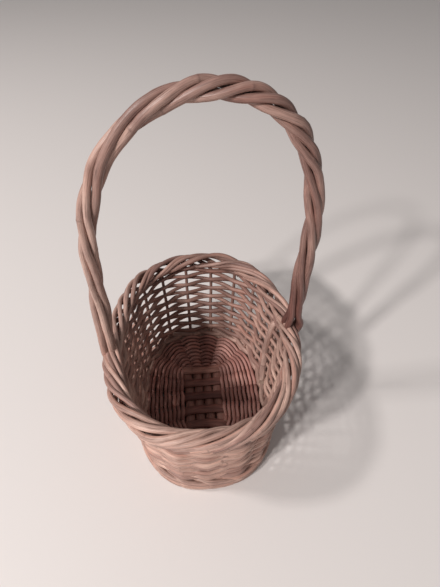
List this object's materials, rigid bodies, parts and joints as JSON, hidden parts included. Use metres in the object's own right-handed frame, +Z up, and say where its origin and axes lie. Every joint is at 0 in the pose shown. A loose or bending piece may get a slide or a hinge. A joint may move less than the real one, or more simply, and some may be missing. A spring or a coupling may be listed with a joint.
{
  "type": "flower girl basket",
  "caption": "Small oval willow basket with an open woven side, a rolled rod border and a fixed roped handle across its width.",
  "frame": {"origin": "middle of the face that the basket stands on, centred under its outline", "axes": "+Z up, X across the basket in the plane of the handle, Y along the basket's longer side"},
  "size_m": [0.195, 0.2306, 0.3472],
  "materials": {
    "base_stick": "peeled willow stick, satin, shaded brown",
    "base_willow": "woven willow rod, satin",
    "side_willow": "woven willow rod, satin with fine grain",
    "stake_willow": "straight willow rod, satin",
    "border_willow": "thick willow rod, satin with worn highlights",
    "handle_willow": "thick willow rod, satin with soft gloss"
  },
  "bodies": {
    "root": {"long_base_stick_1": "base_stick", "long_base_stick_2": "base_stick", "long_base_stick_3": "base_stick", "long_base_stick_4": "base_stick", "cross_base_stick_1": "base_stick", "cross_base_stick_2": "base_stick", "cross_base_stick_3": "base_stick", "cross_base_stick_4": "base_stick", "cross_base_stick_5": "base_stick", "base_weaver_1": "base_willow", "base_weaver_2": "base_willow", "foot_rod_1": "side_willow", "foot_rod_2": "side_willow", "foot_rod_3": "side_willow", "stake_1": "stake_willow", "stake_2": "stake_willow", "stake_3": "stake_willow", "stake_4": "stake_willow", "stake_5": "stake_willow", "stake_6": "stake_willow", "stake_7": "stake_willow", "stake_8": "stake_willow", "stake_9": "stake_willow", "stake_10": "stake_willow", "stake_11": "stake_willow", "stake_12": "stake_willow", "stake_13": "stake_willow", "stake_14": "stake_willow", "stake_15": "stake_willow", "stake_16": "stake_willow", "stake_17": "stake_willow", "stake_18": "stake_willow", "stake_19": "stake_willow", "stake_20": "stake_willow", "stake_21": "stake_willow", "side_weaver_1": "side_willow", "side_weaver_2": "side_willow", "side_weaver_3": "side_willow", "side_weaver_4": "side_willow", "border_rods_1": "border_willow", "border_rods_2": "border_willow", "border_rods_3": "border_willow", "border_rods_4": "border_willow", "border_rods_5": "border_willow", "border_rods_6": "border_willow", "border_rods_7": "border_willow", "border_rods_8": "border_willow", "border_rods_9": "border_willow", "border_rods_10": "border_willow", "border_rods_11": "border_willow", "border_rods_12": "border_willow", "border_rods_13": "border_willow", "border_rods_14": "border_willow", "handle_rod_1": "handle_willow", "handle_rod_2": "handle_willow", "handle_rod_3": "handle_willow", "handle_rod_4": "handle_willow"}
  },
  "joints": []
}
